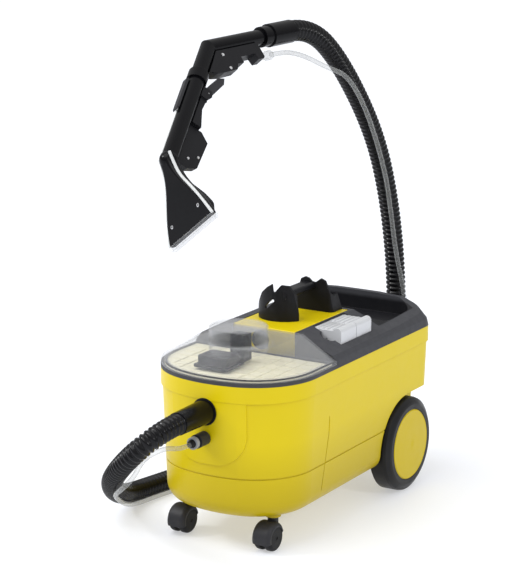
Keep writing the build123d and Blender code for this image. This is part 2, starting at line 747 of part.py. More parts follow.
for side_name, side in (("left", -1), ("right", 1)):
    finish(caster_fork(side), f"{side_name}_caster_fork")
    finish(caster_axle(side), f"{side_name}_caster_axle")
    low_start = side * caster_x - web_half - 1 - caster_wheel_width
    high_start = side * caster_x + web_half + 1
    finish(caster_wheel(low_start, -1), f"{side_name}_caster_wheel_a")
    finish(caster_wheel(high_start, 1), f"{side_name}_caster_wheel_b")

# ------------------------------------------------------------------ machinery inside the body
motor_x = -12.0
motor_y = -14.0
tray_z = 165.0
bay_lean = tan(radians(draft))


def bay_rear(z):
    """Where the bay's leaning rear wall is at a height."""
    return bay_rear_y - (rim_z - z) * bay_lean


tray_front_y = -104.0
tray_half_width = 142.0
with BuildPart() as motor_tray:
    with BuildSketch(Plane.XY.offset(tray_z)):
        with Locations((0, (tray_front_y + bay_rear(tray_z) - 0.5) / 2)):
            Rectangle(2 * tray_half_width, bay_rear(tray_z) - 0.5 - tray_front_y)
    extrude(amount=3)
    with BuildSketch(Plane.XZ.offset(-tray_front_y)):
        with Locations((0, (tray_z + rim_z - 1) / 2)):
            Rectangle(2 * tray_half_width, rim_z - 1 - tray_z)
    extrude(amount=-3)
finish(motor_tray, "motor_tray")

with BuildPart() as vacuum_motor:
    with BuildSketch(Plane.XY.offset(tray_z + 3)):
        with Locations((motor_x, motor_y)):
            Circle(52)
    extrude(amount=92)
    fillet(vacuum_motor.edges().group_by(Axis.Z)[0], radius=10)
    with BuildSketch(Plane.XY.offset(tray_z + 95)):
        with Locations((motor_x, motor_y)):
            Circle(30)
    extrude(amount=8)
finish(vacuum_motor, "vacuum_motor")

turbine_low = tray_z + 103
with BuildPart() as turbine_housing:
    with BuildSketch(Plane.XY.offset(turbine_low)):
        with Locations((motor_x, motor_y)):
            Circle(66)
    extrude(amount=44)
    fillet(turbine_housing.edges().group_by(Axis.Z)[-1], radius=6)
    with BuildSketch(Plane.XY.offset(turbine_low + 20)):
        with Locations((motor_x, motor_y)):
            Circle(duct_radius - 3)
    extrude(amount=40, mode=Mode.SUBTRACT)
finish(turbine_housing, "turbine_housing")

duct_start = turbine_low + 44
with BuildPart() as suction_duct:
    with BuildLine():
        FilletPolyline((motor_x, motor_y, duct_start), (motor_x, motor_y, duct_z),
                       (motor_x, cover_front, duct_z), radius=24)
    with BuildSketch(Plane.XY.offset(duct_start)):
        with Locations((motor_x, motor_y)):
            Circle(duct_radius)
            Circle(duct_radius - 3, mode=Mode.SUBTRACT)
    sweep()
finish(suction_duct, "suction_duct")

with BuildPart() as water_pump:
    with BuildSketch(Plane.XY.offset(underside_z + wall)):
        with Locations((0, 108)):
            RectangleRounded(74, 70, 10)
    extrude(amount=62)
    with BuildSketch(Plane.XZ.offset(-143)):
        with Locations((0, 100)):
            Circle(26)
    extrude(amount=-42)
finish(water_pump, "water_pump")

with BuildPart() as intake_filter:
    with BuildSketch(Plane.XZ.offset(-bay_rear(90) + 5)):
        with Locations((40, 100)):
            Circle(13)
    extrude(amount=46)
    fillet(intake_filter.edges().group_by(Axis.Y)[0], radius=4)
finish(intake_filter, "intake_filter")

pipe_radius = 3.5
pipe_z = 104.0
pipe_front_y = -278.5
with BuildPart() as pressure_pipe:
    with BuildLine():
        FilletPolyline((0, bay_rear(pipe_z) - 1, pipe_z), (0, pipe_front_y, pipe_z),
                       (0, pipe_front_y, coupling_z - coupling_radius - 0.2), radius=20)
    with BuildSketch(Plane.XZ.offset(1 - bay_rear(pipe_z))):
        with Locations((0, pipe_z)):
            Circle(pipe_radius)
    sweep()
finish(pressure_pipe, "pressure_pipe")

with BuildPart() as exhaust_grille:
    with BuildSketch(Plane.XZ.offset(4 - tail_y)):
        with Locations((0, exhaust_z)):
            RectangleRounded(exhaust_width - 0.4, exhaust_height - 0.4, 6)
        for slot in range(12):
            with Locations(((slot - 5.5) * 9, exhaust_z)):
                SlotCenterToCenter(20, 4, rotation=90, mode=Mode.SUBTRACT)
    extrude(amount=8)
finish(exhaust_grille, "exhaust_grille")

with BuildPart() as cable_gland:
    with BuildSketch(Plane.XZ.offset(12 - tail_y)):
        with Locations((gland_x, gland_z)):
            Circle(8)
            Circle(4, mode=Mode.SUBTRACT)
    extrude(amount=-11)
    with BuildSketch(Plane.XZ.offset(1 - tail_y)):
        with Locations((gland_x, gland_z)):
            Circle(11)
            Circle(4, mode=Mode.SUBTRACT)
    extrude(amount=-16, taper=8)
finish(cable_gland, "cable_gland")

# ------------------------------------------------------------------ connections on the nose
cuff_start_y = -298.0
hose_start_y = -384.0
hose_radius = 20.0
spray_radius = 4.5
spray_start_y = -345.0

with BuildPart() as suction_socket:
    with BuildSketch(Plane.XZ.offset(276)):
        with Locations((0, socket_z)):
            Circle(socket_radius)
            Circle(20.5, mode=Mode.SUBTRACT)
    extrude(amount=-nose_face_y - 276)
    with BuildSketch(Plane.XZ.offset(-nose_face_y)):
        with Locations((0, socket_z)):
            Circle(socket_radius + 2)
            Circle(20.5, mode=Mode.SUBTRACT)
    extrude(amount=1)
finish(suction_socket, "suction_socket")

with BuildPart() as hose_cuff:
    with BuildSketch(Plane.XZ.offset(280)):
        with Locations((0, socket_z)):
            Circle(20.2)
    extrude(amount=18)
    with BuildSketch(Plane.XZ.offset(-cuff_start_y)):
        with Locations((0, socket_z)):
            Circle(22.5)
    extrude(amount=cuff_start_y - hose_start_y, taper=1)
    with BuildSketch(Plane.XZ.offset(279)):
        with Locations((0, socket_z)):
            Circle(17)
    extrude(amount=-hose_start_y - 278, mode=Mode.SUBTRACT)
finish(hose_cuff, "hose_cuff")

coupling_front_y = -324.0    # end of the coupling's body; its collar slides on the stub beyond
stub_end_y = -338.0
with BuildPart() as coupling_body:
    with BuildSketch(Plane.XZ.offset(277)):
        with Locations((0, coupling_z)):
            Circle(coupling_radius)
    extrude(amount=-nose_face_y - 277)
    with BuildSketch(Plane.XZ.offset(-nose_face_y)):
        with Locations((0, coupling_z)):
            Circle(13)
    extrude(amount=nose_face_y - coupling_front_y)
    with BuildSketch(Plane.XZ.offset(-coupling_front_y)):
        with Locations((0, coupling_z)):
            Circle(8)
    extrude(amount=coupling_front_y - stub_end_y)
finish(coupling_body, "coupling_body")

with BuildPart() as coupling_collar:
    with BuildSketch(Plane.XZ.offset(-coupling_front_y + 5)):
        with Locations((0, coupling_z)):
            Circle(11.5)
            Circle(8 + fit, mode=Mode.SUBTRACT)
    extrude(amount=8)
finish(coupling_collar, "coupling_collar")

with BuildPart() as spray_plug:
    with BuildSketch(Plane.XZ.offset(-stub_end_y)):
        with Locations((0, coupling_z)):
            Circle(8)
    extrude(amount=stub_end_y - spray_start_y, taper=15)
finish(spray_plug, "spray_plug")

# ------------------------------------------------------------------ hand tool, in its own plane
elbow = Vector(-37.2, -219.6, 909.8)
grip_direction = Vector(-0.1646, -0.9852, -0.0469)
tool_normal = Vector(0.7806, -0.1592, 0.6044)
wand_turn = 39.0             # degrees, from the grip to the wand
head_turn = 38.1             # degrees, from the wand to the nozzle head
grip_length = 140.0
cuff_length = 83.0
elbow_leg = 80.0
wand_length = 294.0
head_length = 133.0
mouth_half = 62.0
grip_radius = 14.5
wand_radius = 15.0
tube_wall = 2.5

grip_plane = Plane(origin=elbow, x_dir=grip_direction, z_dir=tool_normal)


def turned(plane, origin, angle):
    """The plane turned in itself by an angle in degrees, and moved to a new origin."""
    direction = plane.x_dir.rotate(Axis((0, 0, 0), plane.z_dir), angle)
    return Plane(origin=origin, x_dir=direction, z_dir=plane.z_dir)


wand_plane = turned(grip_plane, elbow, wand_turn)
wand_end = wand_plane.from_local_coords(Vector(wand_length, 0, 0))
head_plane = turned(wand_plane, wand_end, head_turn)


def station(plane, distance, offset_in=0.0):
    """Plane across a tool tube: its normal runs along the tube and its x axis across the tool."""
    place = plane.from_local_coords(Vector(distance, offset_in, 0))
    return Plane(origin=place, x_dir=plane.z_dir, z_dir=plane.x_dir)


def elbow_sweep(radius):
    """Mitred round bar along the grip and the first leg of the elbow."""
    with BuildPart() as bar:
        with BuildLine():
            Polyline(grip_plane.from_local_coords(Vector(-grip_length, 0, 0)), elbow,
                     wand_plane.from_local_coords(Vector(elbow_leg, 0, 0)))
        with BuildSketch(station(grip_plane, -grip_length)):
            Circle(radius)
        sweep(transition=Transition.RIGHT)
    return bar.part


def bar_along_wand(radius, end):
    """Round bar inside the wand, from behind the elbow leg to a distance along it."""
    with BuildPart() as bar:
        with BuildSketch(station(wand_plane, elbow_leg - 10)):
            Circle(radius)
        extrude(amount=end - elbow_leg + 10)
    return bar.part


with BuildPart() as tool_grip:
    add(elbow_sweep(grip_radius))
    add(elbow_sweep(grip_radius - tube_wall), mode=Mode.SUBTRACT)
finish(tool_grip, "tool_grip")

with BuildPart() as swivel_cuff:
    with BuildSketch(station(grip_plane, -grip_length - cuff_length)):
        Circle(hose_radius + 1.5)
        Circle(grip_radius - tube_wall, mode=Mode.SUBTRACT)
    extrude(amount=cuff_length - 22)
    with BuildSketch(station(grip_plane, -grip_length - 22)):
        Circle(grip_radius + 4.5)
        Circle(grip_radius - tube_wall, mode=Mode.SUBTRACT)
    extrude(amount=22)
finish(swivel_cuff, "swivel_cuff")

with BuildPart() as tool_collar:
    with BuildSketch(station(wand_plane, elbow_leg - 8)):
        Circle(wand_radius + 3.5)
        Circle(wand_radius, mode=Mode.SUBTRACT)
    extrude(amount=22)
finish(tool_collar, "tool_collar")

with BuildPart() as wand_tube:
    with BuildSketch(station(wand_plane, elbow_leg)):
        Circle(wand_radius)
        Circle(wand_radius - tube_wall, mode=Mode.SUBTRACT)
    extrude(amount=wand_length - 5 - elbow_leg)
finish(wand_tube, "wand_tube")

with BuildPart() as latch_clip:
    with BuildSketch(wand_plane):
        Polygon((101, -16.2), (104, -21), (180, -21), (184, -18.5), (178, -18.5), (176, -16.2), align=None)
    extrude(amount=6, both=True)
finish(latch_clip, "latch_clip")

with BuildPart() as valve_body:
    with BuildSketch(grip_plane):
        Polygon((-112, 13.5), (-2, 13.5), (14, 28), (40, 50), (22, 55), (6, 57), (-30, 56), (-38, 46),
                (-54, 46), (-54, 34), (-92, 34), (-94, 46), (-108, 46), (-112, 43), align=None)
    extrude(amount=11, both=True)
    add(elbow_sweep(grip_radius + fit), mode=Mode.SUBTRACT)
finish(valve_body, "valve_body")

nut_start = -142.0
nut_offset = 38.0
with BuildPart() as union_nut:
    with BuildSketch(station(grip_plane, nut_start, nut_offset)):
        RegularPolygon(9, 6)
    extrude(amount=16)
    with BuildSketch(station(grip_plane, nut_start + 16, nut_offset)):
        Circle(6)
    extrude(amount=14)
finish(union_nut, "union_nut")

lever_pivot = (108.0, 26.0)
with BuildPart() as trigger_lever:
    with BuildSketch(wand_plane):
        Polygon((114, 22), (100, 22), (84, 24), (58, 34), (48, 46), (62, 49), (100, 36), (114, 31),
                align=None)
        with Locations(lever_pivot):
            Circle(1.5 + fit, mode=Mode.SUBTRACT)
    extrude(amount=5.5, both=True)
finish(trigger_lever, "trigger_lever")

with BuildPart() as trigger_pin:
    with BuildSketch(wand_plane):
        with Locations(lever_pivot):
            Circle(1.5)
    extrude(amount=9, both=True)
finish(trigger_pin, "trigger_pin")

with BuildPart() as spray_channel:
    with BuildSketch(wand_plane):
        Polygon((119, 15.2), (119, 28), (150, 25), (189, 34), (189, 15.2), align=None)
    extrude(amount=6.5, both=True)
    for side in (-1, 1):
        with BuildSketch(wand_plane.offset(side * 6.5)):
            Polygon((100, 13), (100, 30), (112, 34), (124, 28), (124, 13), align=None)
            with Locations(lever_pivot):
                Circle(1.5, mode=Mode.SUBTRACT)
        extrude(amount=side * 3)
    add(bar_along_wand(wand_radius, wand_length), mode=Mode.SUBTRACT)
finish(spray_channel, "spray_channel")

with BuildPart() as spray_valve:
    with BuildSketch(wand_plane):
        Polygon((191, 15.2), (191, 40), (206, 57), (272, 53), (285, 36), (285, 15.2), align=None)
    extrude(amount=14, both=True, taper=10)
finish(spray_valve, "spray_valve")

neck_radius = 16.5
head_sections = [(0.0, 0.0, 30.0, 29.0), (28.0, -1.0, 36.0, 22.0), (72.0, -2.0, 74.0, 16.0),
                 (head_length, -2.0, 2 * mouth_half, 12.0)]


def head_loft(shrink):
    """Smooth fan through the head's cross-sections, each made smaller all round by shrink."""
    with BuildPart() as fan:
        for distance, offset_in, across, thick in head_sections:
            with BuildSketch(station(head_plane, distance, offset_in)):
                RectangleRounded(across - 2 * shrink, thick - 2 * shrink, (thick / 2 - shrink) * 0.7)
        loft()
    return fan.part


with BuildPart() as spray_guard:
    # hood over the spray jet, on the inner face of the fan and widening with it
    with BuildSketch(head_plane):
        Polygon((46, 4), (56, 14), (80, 23), (106, 25), (122, 18), (128, 4), align=None)
    extrude(amount=46, both=True)
    with BuildSketch(Plane(origin=wand_end, x_dir=head_plane.x_dir, z_dir=head_plane.y_dir)):
        Polygon((40, -13), (40, 13), (100, 40), (130, 44), (130, -44), (100, -40), align=None)
    extrude(amount=60, both=True, mode=Mode.INTERSECT)

with BuildPart() as nozzle_head:
    add(head_loft(0))
    add(spray_guard.part)
    with Locations(wand_end):
        Sphere(neck_radius)
    add(bar_along_wand(wand_radius + 0.1, wand_length - 5), mode=Mode.SUBTRACT)
    add(head_loft(tube_wall), mode=Mode.SUBTRACT)
    with Locations(wand_end):
        Sphere(neck_radius - tube_wall - 1, mode=Mode.SUBTRACT)
finish(nozzle_head, "nozzle_head")

with BuildPart() as nozzle_window:
    with BuildSketch(head_plane.offset(0)):
        Polygon((head_length + 1, 6.2), (head_length + 1, -10.2), (head_length + 9, -8), (head_length + 9, 4),
                align=None)
    extrude(amount=mouth_half, both=True)
    with BuildSketch(head_plane):
        Polygon((head_length, 3.4), (head_length, -7.4), (head_length + 10, -5), (head_length + 10, 1),
                align=None)
    extrude(amount=mouth_half - 3, both=True, mode=Mode.SUBTRACT)
finish(nozzle_window, "nozzle_window")

# ------------------------------------------------------------------ hoses
hose_bore = 17.5
spray_bore = 2.5
clip_width = 14.0
clip_wall = 1.3
clip_runs = (10, 12, 16, 17)   # which runs of the suction hose carry a clip

suction_route = [
    (0, hose_start_y, socket_z), (0, -416, 266), (-14, -462, 249), (-50, -463, 216), (-99, -432, 173),
    (-145, -384, 133), (-185, -322, 93), (-220, -252, 58), (-255, -177, 29), (-255, -95, 21.5),
    (-235, 10, 21.5), (-239, 125, 21.5), (-227, 246, 21.5), (-171, 334, 21.5), (-64, 366, 21.5),
    (25, 358, 26), (52, 344, 90), (51, 344, 215), (51, 343, 390), (51, 308, 555), (42, 258, 700),
    (24, 150, 850),
]
spray_route = [
    (0, spray_start_y, coupling_z), (0, -374, coupling_z), (1, -420, 232), (-14, -446, 225), (-40, -439, 204),
    (-57, -439, 172), (-87, -438, 143), (-121, -408, 120), (-154, -351, 87), (-186, -285, 53),
    (-225, -197, 18), (-237, -100, 5.8), (-211, 16, 5.8), (-214, 125, 5.8), (-199, 236, 5.8),
    (-152, 306, 5.8), (-60, 326, 5.8), (10, 312, 5.8), (58, 310, 12), (84, 328, 52), (81, 344, 115),
    (79, 345, 190), (79, 343, 290), (75, 329, 372), (67, 307, 452), (66, 289, 525), (64, 268, 610),
    (59, 227, 701), (54, 184, 772), (47, 134, 828), (28, 88, 846), (19, 44, 866), (16, 0, 880),
]
# each hose leaves its cuff or nut on the tool along the grip
for route, end, offset_in, lead in (
    (suction_route, -grip_length - cuff_length, 0, 60),
    (spray_route, nut_start, nut_offset, 35),
):
    route.append(tuple(grip_plane.from_local_coords(Vector(end - lead, offset_in, 0))))
    route.append(tuple(grip_plane.from_local_coords(Vector(end, offset_in, 0))))


def bend_radii(route):
    """One radius for each corner: as large as its shorter run allows."""
    points = [Vector(*point) for point in route]
    radii = []
    for before, corner, after in zip(points, points[1:], points[2:]):
        incoming = corner - before
        outgoing = after - corner
        half_turn = radians(incoming.get_angle(outgoing)) / 2
        radii.append(0.45 * min(incoming.length, outgoing.length) / tan(half_turn))
    return radii


def tube(route, outer, inner):
    """Round tube along a route of runs and bends."""
    with BuildPart() as hose:
        with BuildLine():
            centre = FilletPolyline(*route, radius=bend_radii(route))
        start = Plane(origin=route[0], z_dir=centre % 0)
        with BuildSketch(start):
            Circle(outer)
            Circle(inner, mode=Mode.SUBTRACT)
        sweep()
    print("hose length", round(centre.length), "bend radii", [round(radius) for radius in bend_radii(route)])
    print("volume over section times length",
          round(hose.part.volume / (pi * (outer**2 - inner**2) * centre.length), 4))
    return hose


suction_hose = tube(suction_route, hose_radius, hose_bore)
finish(suction_hose, "suction_hose")
spray_hose = tube(spray_route, spray_radius, spray_bore)
finish(spray_hose, "spray_hose")


def crossing(route, plane):
    """Where a route passes through a plane nearest to the plane's origin."""
    points = [plane.to_local_coords(Vector(*point)) for point in route]
    found = []
    for near, far in zip(points, points[1:]):
        if near.Z * far.Z < 0:
            found.append(near + (far - near) * (near.Z / (near.Z - far.Z)))
    return min(found, key=lambda place: place.length)


with BuildPart() as hose_clips:
    for run in clip_runs:
        run_start = Vector(*suction_route[run])
        run_end = Vector(*suction_route[run + 1])
        clip_plane = Plane(origin=(run_start + run_end) / 2, z_dir=run_end - run_start)
        spray_place = crossing(spray_route, clip_plane)
        with BuildSketch(clip_plane):
            Circle(hose_radius + clip_wall)
            with Locations((spray_place.X, spray_place.Y)):
                Circle(spray_radius + clip_wall)
            make_hull()
            Circle(hose_radius - 1, mode=Mode.SUBTRACT)
            with Locations((spray_place.X, spray_place.Y)):
                Circle(spray_radius - 1, mode=Mode.SUBTRACT)
        extrude(amount=clip_width / 2, both=True)
    add(suction_hose.part, mode=Mode.SUBTRACT)
    add(spray_hose.part, mode=Mode.SUBTRACT)
finish(hose_clips, "hose_clips")
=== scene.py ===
"""Looks of the carpet cleaner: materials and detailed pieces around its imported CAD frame."""
import math

import bmesh
import bpy
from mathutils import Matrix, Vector


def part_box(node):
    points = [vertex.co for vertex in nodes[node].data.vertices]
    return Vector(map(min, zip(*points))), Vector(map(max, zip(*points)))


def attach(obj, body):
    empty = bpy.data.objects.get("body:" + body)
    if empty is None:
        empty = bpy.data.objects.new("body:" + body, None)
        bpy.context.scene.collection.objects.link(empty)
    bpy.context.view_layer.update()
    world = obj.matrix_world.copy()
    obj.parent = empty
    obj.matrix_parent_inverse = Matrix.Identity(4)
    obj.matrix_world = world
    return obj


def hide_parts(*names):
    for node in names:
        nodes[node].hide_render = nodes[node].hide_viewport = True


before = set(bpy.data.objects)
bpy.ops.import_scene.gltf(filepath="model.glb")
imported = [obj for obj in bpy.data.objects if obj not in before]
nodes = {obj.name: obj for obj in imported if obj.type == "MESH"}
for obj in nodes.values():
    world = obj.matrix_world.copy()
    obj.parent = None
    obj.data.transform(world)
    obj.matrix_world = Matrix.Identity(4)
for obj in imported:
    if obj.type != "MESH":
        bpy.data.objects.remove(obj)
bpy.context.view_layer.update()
MM = 0.001


# ------------------------------------------------------------------ camera
CAMERA_PLACE = (1.94254, -3.28214, 1.35247)     # to the right of the nose and above it
CAMERA_TARGET = (-0.00317, -0.09581, 0.45408)
CAMERA_LENS = 129.46
CAMERA_SENSOR = 36.0


def link(obj):
    """Put an object in the scene."""
    bpy.context.scene.collection.objects.link(obj)
    return obj


def aim(obj, direction):
    """Turn a camera or a light to look along a direction."""
    obj.rotation_mode = "QUATERNION"
    obj.rotation_quaternion = Vector(direction).to_track_quat("-Z", "Y")


def add_camera():
    """Camera at the photograph's viewing angle."""
    data = bpy.data.cameras.new("camera")
    data.lens = CAMERA_LENS
    data.sensor_width = CAMERA_SENSOR
    camera = link(bpy.data.objects.new("camera", data))
    camera.location = CAMERA_PLACE
    aim(camera, Vector(CAMERA_TARGET) - camera.location)
    bpy.context.scene.camera = camera


add_camera()


# ------------------------------------------------------------------ material helpers
PATCH_SCALE = 9.0             # repeats per metre of the unevenness in a moulding's colour
WEAR_SCALE = 60.0             # and of the unevenness in its roughness
FLOW_SCALE = 14.0             # waves in clear plastic
MARK_SCALE = 700.0            # tool marks on metal


def start_material(name, color, roughness):
    """A Principled material, with its object coordinates as a node to build on."""
    mat = bpy.data.materials.new(name)
    mat.use_nodes = True
    tree = mat.node_tree
    shader = tree.nodes["Principled BSDF"]
    shader.inputs["Base Color"].default_value = (*color, 1)
    shader.inputs["Roughness"].default_value = roughness
    place = tree.nodes.new("ShaderNodeTexCoord").outputs["Object"]
    return mat, tree, shader, place


def noise(tree, place, scale, detail=3.0):
    """Noise texture's value at a scale given in repeats per metre."""
    node = tree.nodes.new("ShaderNodeTexNoise")
    node.inputs["Scale"].default_value = scale
    node.inputs["Detail"].default_value = detail
    tree.links.new(place, node.inputs["Vector"])
    return node.outputs["Fac"]


def spread(tree, value, low, high):
    """A 0 to 1 value moved to a new range, with its middle stretched to fill it."""
    node = tree.nodes.new("ShaderNodeMapRange")
    node.inputs["From Min"].default_value = 0.3
    node.inputs["From Max"].default_value = 0.7
    node.inputs["To Min"].default_value = low
    node.inputs["To Max"].default_value = high
    tree.links.new(value, node.inputs["Value"])
    return node.outputs["Result"]


def blend_colors(tree, value, first, second):
    """Colour that goes from first to second with a value."""
    node = tree.nodes.new("ShaderNodeMix")
    node.data_type = "RGBA"
    node.inputs["A"].default_value = (*first, 1)
    node.inputs["B"].default_value = (*second, 1)
    tree.links.new(value, node.inputs["Factor"])
    return node.outputs["Result"]


def bump(tree, shader, height, strength, distance, edge=0.0):
    """Bump on the shader's normal, over edges that look rounded by edge metres."""
    node = tree.nodes.new("ShaderNodeBump")
    node.inputs["Strength"].default_value = strength
    node.inputs["Distance"].default_value = distance
    tree.links.new(height, node.inputs["Height"])
    if edge:
        soft = tree.nodes.new("ShaderNodeBevel")
        soft.samples = 4
        soft.inputs["Radius"].default_value = edge
        tree.links.new(soft.outputs["Normal"], node.inputs["Normal"])
    tree.links.new(node.outputs["Normal"], shader.inputs["Normal"])


def moulded(name, color, roughness, grain=900.0, depth=0.3, shade=0.88, edge=1.2 * MM, coat=0.0,
            gloss=0.5):
    """Moulded plastic: slightly uneven colour and roughness, a fine grain, and soft edges.

    grain is the grain's repeats per metre and depth its strength; shade darkens the uneven patches.
    """
    mat, tree, shader, place = start_material(name, color, roughness)
    patches = noise(tree, place, PATCH_SCALE)
    darker = tuple(part * shade for part in color)
    tree.links.new(blend_colors(tree, patches, darker, color), shader.inputs["Base Color"])
    wear = noise(tree, place, WEAR_SCALE)
    tree.links.new(spread(tree, wear, roughness * 0.85, roughness * 1.15), shader.inputs["Roughness"])
    bump(tree, shader, noise(tree, place, grain, 2.0), depth, 0.1 * MM, edge)
    shader.inputs["Specular IOR Level"].default_value = gloss
    shader.inputs["Coat Weight"].default_value = coat
    shader.inputs["Coat Roughness"].default_value = 0.12
    return mat


def clear(name, color, roughness, faint, edge_alpha):
    """Clear moulded plastic: faint face on, denser where it is seen at a slant, with slight flow waves."""
    mat, tree, shader, place = start_material(name, color, roughness)
    shader.inputs["IOR"].default_value = 1.6
    flow = noise(tree, place, FLOW_SCALE)
    tree.links.new(spread(tree, flow, roughness * 0.7, roughness * 1.4), shader.inputs["Roughness"])
    bump(tree, shader, flow, 0.25, 0.6 * MM)
    slant = tree.nodes.new("ShaderNodeLayerWeight")
    slant.inputs["Blend"].default_value = 0.35
    alpha = tree.nodes.new("ShaderNodeMapRange")
    alpha.inputs["To Min"].default_value = faint
    alpha.inputs["To Max"].default_value = edge_alpha
    tree.links.new(slant.outputs["Facing"], alpha.inputs["Value"])
    tree.links.new(alpha.outputs["Result"], shader.inputs["Alpha"])
    return mat


def within(tree, place, axis, start, end):
    """0 to 1 as a coordinate goes from start to end, in metres."""
    split = tree.nodes.new("ShaderNodeSeparateXYZ")
    tree.links.new(place, split.inputs["Vector"])
    ramp = tree.nodes.new("ShaderNodeMapRange")
    ramp.inputs["From Min"].default_value = start
    ramp.inputs["From Max"].default_value = end
    tree.links.new(split.outputs[axis], ramp.inputs["Value"])
    return ramp.outputs["Result"]


def recolor(mat, limits, color):
    """Another base colour where every one of the limits (axis, start, end) is passed; here it paints shade.
    """
    tree = mat.node_tree
    base = tree.nodes["Principled BSDF"].inputs["Base Color"]
    place = tree.nodes.new("ShaderNodeTexCoord").outputs["Object"]
    share = within(tree, place, *limits[0])
    for axis, start, end in limits[1:]:
        product = tree.nodes.new("ShaderNodeMath")
        product.operation = "MULTIPLY"
        tree.links.new(share, product.inputs[0])
        tree.links.new(within(tree, place, axis, start, end), product.inputs[1])
        share = product.outputs["Value"]
    mix = tree.nodes.new("ShaderNodeMix")
    mix.data_type = "RGBA"
    tree.links.new(share, mix.inputs["Factor"])
    tree.links.new(base.links[0].from_socket, mix.inputs["A"])
    mix.inputs["B"].default_value = (*color, 1)
    tree.links.new(mix.outputs["Result"], base)


def metal(name, color, roughness):
    """Turned or drawn metal with fine marks."""
    mat, tree, shader, place = start_material(name, color, roughness)
    shader.inputs["Metallic"].default_value = 1.0
    marks = noise(tree, place, MARK_SCALE, 4.0)
    tree.links.new(spread(tree, marks, roughness * 0.8, roughness * 1.3), shader.inputs["Roughness"])
    bump(tree, shader, marks, 0.2, 0.05 * MM, 0.4 * MM)
    return mat


# ------------------------------------------------------------------ materials
YELLOW = moulded("yellow_moulding", (0.70, 0.545, 0.002), 0.34, grain=1100, depth=0.12, shade=0.95,
                  gloss=0.22)
# painted shade: the hub caps get a darker copy of the body's yellow, in place of the shade low on the
# machine
HUB_SHADED_YELLOW = moulded("hub_yellow", (0.62, 0.47, 0.002), 0.36, grain=900, depth=0.15, shade=0.93, gloss=0.22)
BLACK = moulded("black_grained", (0.009, 0.009, 0.011), 0.40, grain=1400, depth=0.6, shade=0.8, gloss=0.16)
CHARCOAL = moulded("charcoal_grained", (0.050, 0.051, 0.058), 0.5, grain=1200, depth=0.7, shade=0.85,
                    gloss=0.25)
GLOSS_BLACK = moulded("gloss_black", (0.004, 0.004, 0.005), 0.2, grain=500, depth=0.08, shade=0.8,
                      gloss=0.12)
CREAM = moulded("cream_tank", (0.86, 0.82, 0.62), 0.42, grain=600, depth=0.1, shade=0.95, gloss=0.3)
GREY = moulded("grey_plastic", (0.030, 0.030, 0.034), 0.45, grain=1200, depth=0.4, shade=0.85, gloss=0.2)
LIGHT_GREY = moulded("light_grey_plastic", (0.30, 0.31, 0.33), 0.4, grain=900, depth=0.2, shade=0.9)
SMOKE = moulded("splash_grey", (0.020, 0.020, 0.024), 0.3, grain=600, depth=0.1, shade=0.85, gloss=0.2)
WHITE = moulded("white_plastic", (0.80, 0.80, 0.78), 0.4, grain=800, depth=0.1, shade=0.93)
SILVER = moulded("silver_lacquer", (0.66, 0.67, 0.69), 0.34, grain=1600, depth=0.25, shade=0.92, coat=0.2)
SILVER.node_tree.nodes["Principled BSDF"].inputs["Metallic"].default_value = 0.2
RUBBER = moulded("black_rubber", (0.009, 0.009, 0.010), 0.5, grain=700, depth=0.5, shade=0.8, gloss=0.2)
TYRE = moulded("tyre_rubber", (0.008, 0.008, 0.009), 0.4, grain=500, depth=0.5, shade=0.75, gloss=0.25)
HOSE_BLACK = moulded("hose_black", (0.004, 0.004, 0.005), 0.22, grain=400, depth=0.1, shade=0.8,
                     edge=0.0, gloss=0.22)
STEEL = metal("turned_steel", (0.55, 0.55, 0.56), 0.3)
LID_CLEAR = clear("lid_clear", (0.50, 0.51, 0.53), 0.06, 0.05, 0.40)
TUBE_CLEAR = clear("tube_clear", (0.42, 0.43, 0.42), 0.12, 0.12, 0.62)
TRIM_CLEAR = clear("trim_clear", (0.88, 0.90, 0.90), 0.12, 0.6, 0.95)

# painted shade: the body's yellow darkened where the shell nears the floor
SHADED_LOWER_YELLOW = (0.46, 0.345, 0.002)
# painted shade: near black deep inside the deck's recessed rear tray
TRAY_PAINTED_SHADE = (0.006, 0.006, 0.008)

# limits in metres: the axis, where the other colour starts, and where it is full
# painted shade on the body shell and motor cover: darker from 210 mm down to 70 mm above the floor
LOWER_SHELL_SHADE = [("Z", 0.21, 0.07)]
# painted shade in the rear tray: darker down its walls from 369 mm to 362 mm, inside the tray's outline
REAR_TRAY_SHADE = [("Z", 0.369, 0.362), ("X", -0.129, -0.127), ("X", 0.129, 0.127),
             ("Y", 0.123, 0.125), ("Y", 0.268, 0.266)]
# paint shade low on the yellow shell
recolor(YELLOW, LOWER_SHELL_SHADE, SHADED_LOWER_YELLOW)
# paint shade deep in the deck's rear tray
recolor(CHARCOAL, REAR_TRAY_SHADE, TRAY_PAINTED_SHADE)

